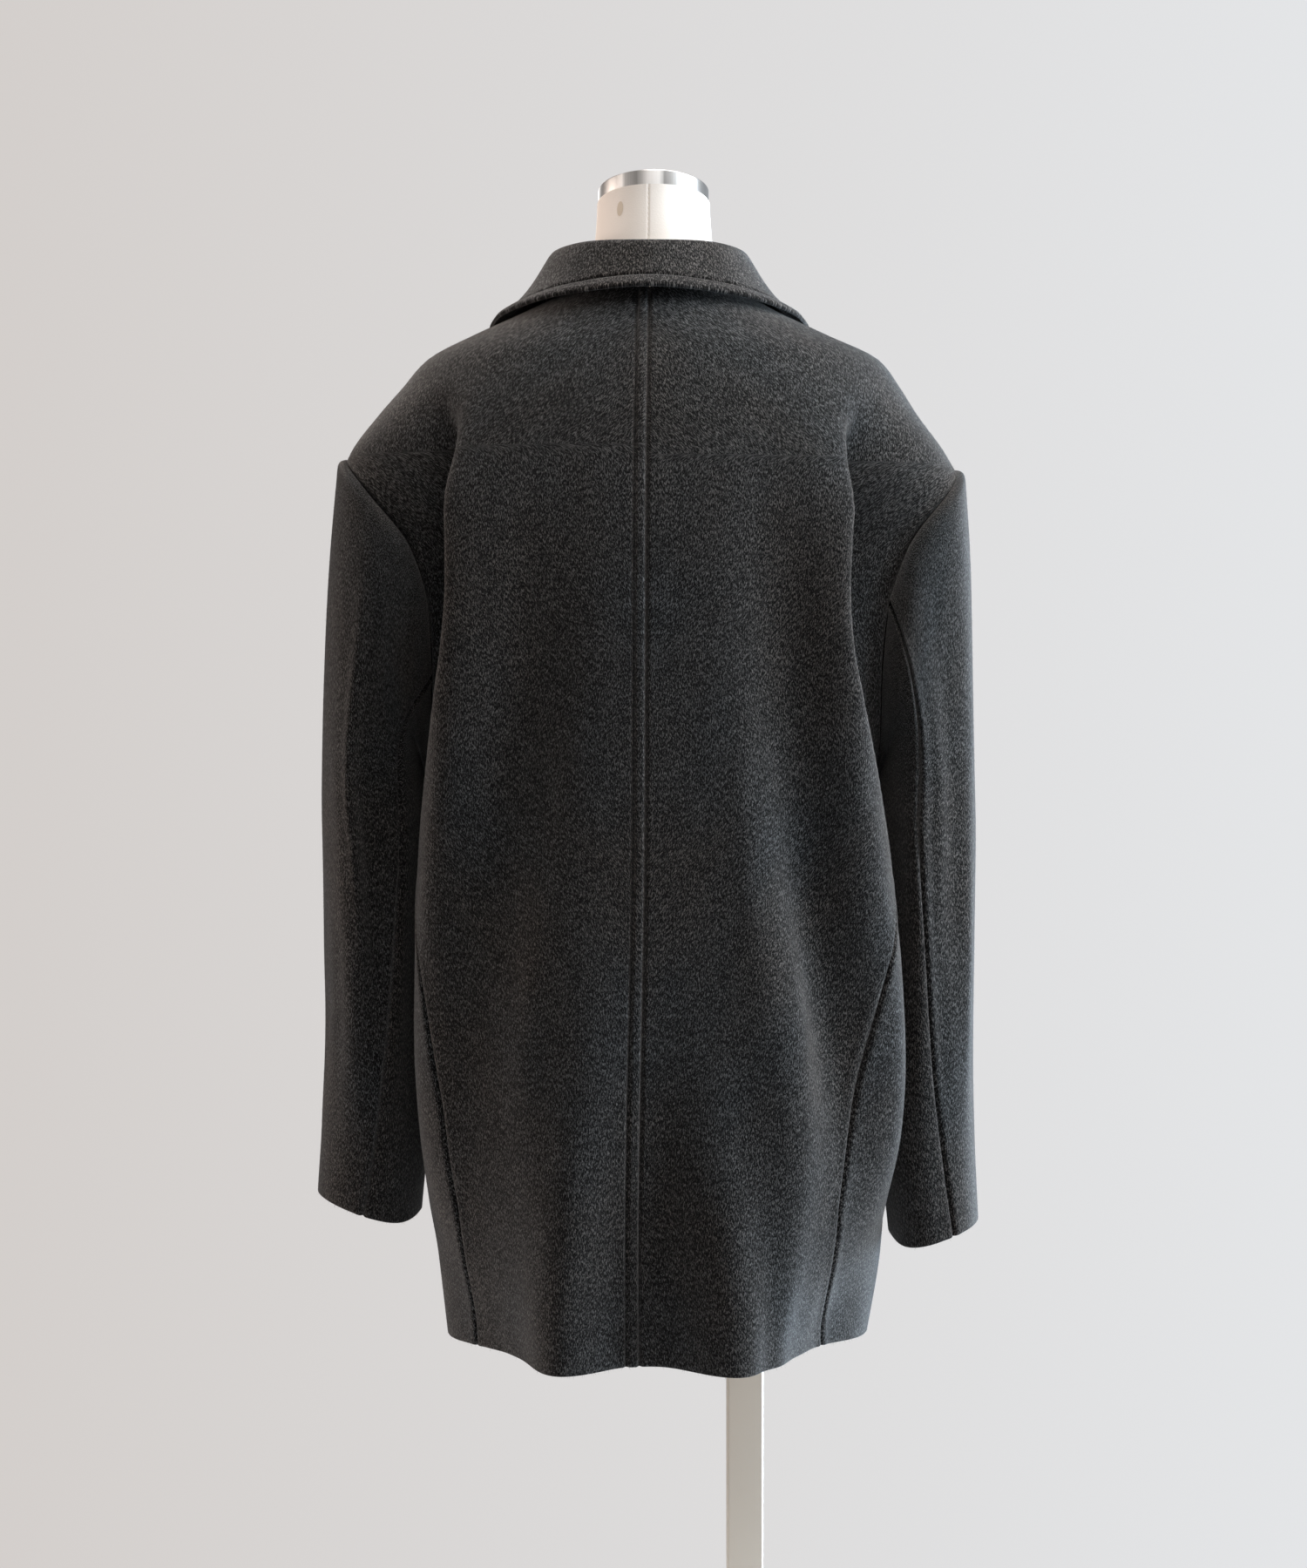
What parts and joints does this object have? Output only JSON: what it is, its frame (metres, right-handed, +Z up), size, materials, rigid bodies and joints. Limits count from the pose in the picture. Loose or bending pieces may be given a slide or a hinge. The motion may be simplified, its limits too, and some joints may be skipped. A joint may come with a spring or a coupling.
{
  "type": "tailored coat on a limbless dress form",
  "caption": "Loose tailored wool coat with a turned-down collar, drop shoulders and two-piece sleeves, standing on a cloth-covered form with a metal neck cap, pole and base.",
  "frame": {"origin": "middle of the base plate's underside, on the floor", "axes": "+Z up, the coat's back faces -Y, +X is the wearer's right side"},
  "size_m": [0.5489, 0.3438, 1.478],
  "materials": {
    "charcoal_wool": "thick brushed wool with a short light nap",
    "dark_horn": "dark turned buttons, half matt",
    "cream_linen": "tight cream cloth cover",
    "satin_steel": "satin brushed steel"
  },
  "bodies": {
    "root": {"back_left": "charcoal_wool", "back_right": "charcoal_wool", "side_left": "charcoal_wool", "side_right": "charcoal_wool", "front_left": "charcoal_wool", "front_right": "charcoal_wool", "lapel_left": "charcoal_wool", "lapel_right": "charcoal_wool", "collar": "charcoal_wool", "upper_sleeve_left": "charcoal_wool", "upper_sleeve_right": "charcoal_wool", "under_sleeve_left": "charcoal_wool", "under_sleeve_right": "charcoal_wool", "button_1": "dark_horn", "button_2": "dark_horn", "button_3": "dark_horn", "form_torso": "cream_linen", "form_neck_cap": "satin_steel", "stand_flange": "satin_steel", "stand_pole": "satin_steel", "stand_base": "satin_steel"}
  },
  "joints": []
}
